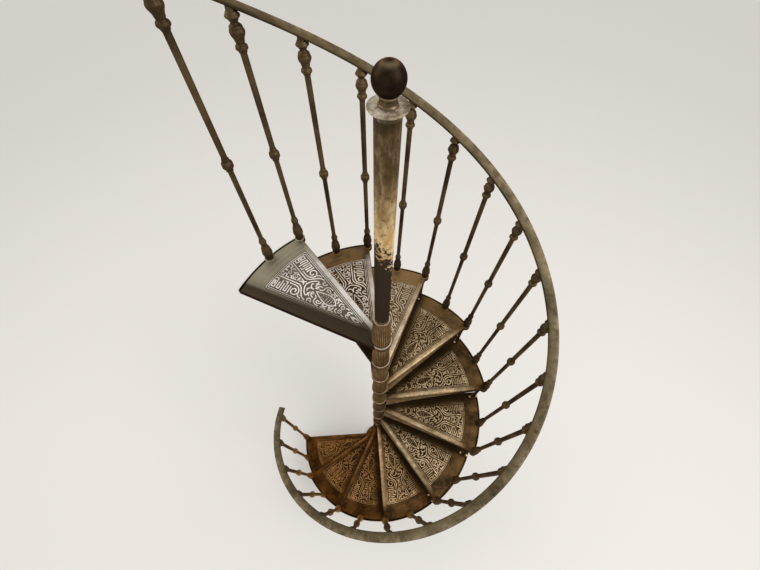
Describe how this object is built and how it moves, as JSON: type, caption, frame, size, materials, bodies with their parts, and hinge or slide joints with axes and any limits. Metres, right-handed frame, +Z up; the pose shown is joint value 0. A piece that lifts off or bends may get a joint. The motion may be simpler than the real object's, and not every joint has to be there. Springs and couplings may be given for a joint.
{
  "type": "cast iron spiral staircase",
  "caption": "Cast-iron spiral stair: wedge treads stacked on a round newel, turned balusters leaning out to a helical flat-bar handrail, with a ball finial and a bolted base.",
  "frame": {"origin": "on the newel's axis at floor level, at the middle of the base flange's underside", "axes": "+Z up along the newel; the first tread's nosing points along -X and the stair climbs anticlockwise seen from above"},
  "size_m": [1.3719, 1.3715, 3.3747],
  "materials": {
    "tread_iron": "worn satin, brown-black with pale worn relief",
    "baluster_iron": "satin, dark olive brown",
    "rail_iron": "worn satin, olive grey",
    "newel_paint": "mottled cream and gold paint worn to dark iron",
    "ball_iron": "satin, dark brown",
    "base_iron": "satin, dark brown"
  },
  "bodies": {
    "root": {"ball_finial": "ball_iron", "corner_baluster_01": "baluster_iron", "corner_baluster_02": "baluster_iron", "corner_baluster_03": "baluster_iron", "corner_baluster_04": "baluster_iron", "corner_baluster_05": "baluster_iron", "corner_baluster_06": "baluster_iron", "corner_baluster_07": "baluster_iron", "corner_baluster_08": "baluster_iron", "corner_baluster_09": "baluster_iron", "corner_baluster_10": "baluster_iron", "corner_baluster_11": "baluster_iron", "handrail_1": "rail_iron", "handrail_2": "rail_iron", "handrail_3": "rail_iron", "handrail_4": "rail_iron", "handrail_5": "rail_iron", "middle_baluster_01": "baluster_iron", "middle_baluster_02": "baluster_iron", "middle_baluster_03": "baluster_iron", "middle_baluster_04": "baluster_iron", "middle_baluster_05": "baluster_iron", "middle_baluster_06": "baluster_iron", "middle_baluster_07": "baluster_iron", "middle_baluster_08": "baluster_iron", "middle_baluster_09": "baluster_iron", "middle_baluster_10": "baluster_iron", "middle_baluster_11": "baluster_iron", "newel_base": "base_iron", "newel_cap": "newel_paint", "newel_shaft": "newel_paint", "tread_01": "tread_iron", "tread_02": "tread_iron", "tread_03": "tread_iron", "tread_04": "tread_iron", "tread_05": "tread_iron", "tread_06": "tread_iron", "tread_07": "tread_iron", "tread_08": "tread_iron", "tread_09": "tread_iron", "tread_10": "tread_iron", "tread_11": "tread_iron"}
  },
  "joints": []
}
